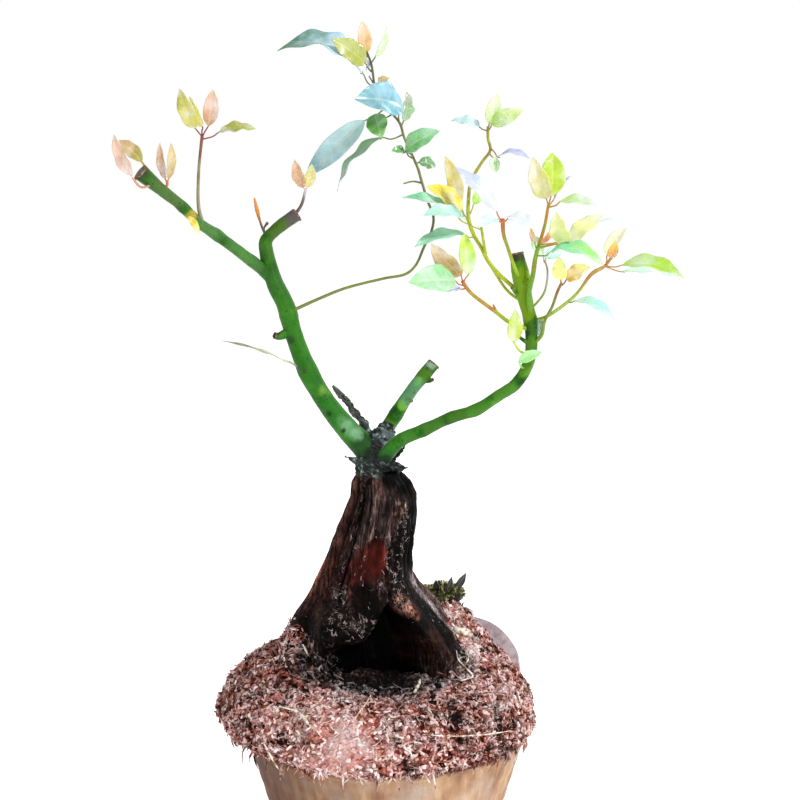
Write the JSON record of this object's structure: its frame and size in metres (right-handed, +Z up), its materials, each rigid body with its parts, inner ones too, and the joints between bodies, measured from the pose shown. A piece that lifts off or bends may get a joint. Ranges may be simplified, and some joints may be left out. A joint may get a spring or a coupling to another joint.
{
  "type": "camphor tree bonsai in a clay pot",
  "caption": "Potted camphor bonsai: hollow old stump, green pruned limbs and young leafy shoots in heaped coir soil over a plain round clay pot. Stands on the pot.",
  "frame": {"origin": "middle of the pot's flat underside, which rests on the surface", "axes": "+Z up along the pot's axis, +X to the right of the front view that shows the stump's hollow, +Y to the back"},
  "size_m": [0.4768, 0.2801, 0.7361],
  "materials": {
    "clay": "unglazed fired clay, weathered and matt",
    "soil": "coir fibre, husk chips and earth, dry and ragged",
    "bark": "dark weathered wood and old bark, rough",
    "green_bark": "smooth young green bark, low sheen",
    "mature_leaf": "glossy waxy leaf, paler below",
    "young_leaf": "soft young leaf, copper to yellow-green, low gloss",
    "sheet": "thin grey film, dusty and creased",
    "moss": "dense short moss, fully rough"
  },
  "bodies": {
    "root": {"bud_left": "young_leaf", "leaf_dead": "mature_leaf", "leaf_hanging": "young_leaf", "leaf_small": "young_leaf", "leaf_wrapping": "young_leaf", "limb_left": "green_bark", "limb_middle": "green_bark", "limb_right": "green_bark", "moss": "moss", "pot": "clay", "shoot_copper": "young_leaf", "shoot_long": "mature_leaf", "shoot_lower": "young_leaf", "shoot_orange_top": "young_leaf", "shoot_reaching": "young_leaf", "shoot_round": "young_leaf", "shoot_stub": "young_leaf", "shoot_thin": "young_leaf", "shoot_tip_copper": "young_leaf", "shoot_tip_pink": "young_leaf", "shoot_tip_yellow": "young_leaf", "shoot_upright": "young_leaf", "shoot_yellow": "young_leaf", "soil": "soil", "soil_sheet": "sheet", "trunk": "bark", "twig_dead": "bark"}
  },
  "joints": []
}
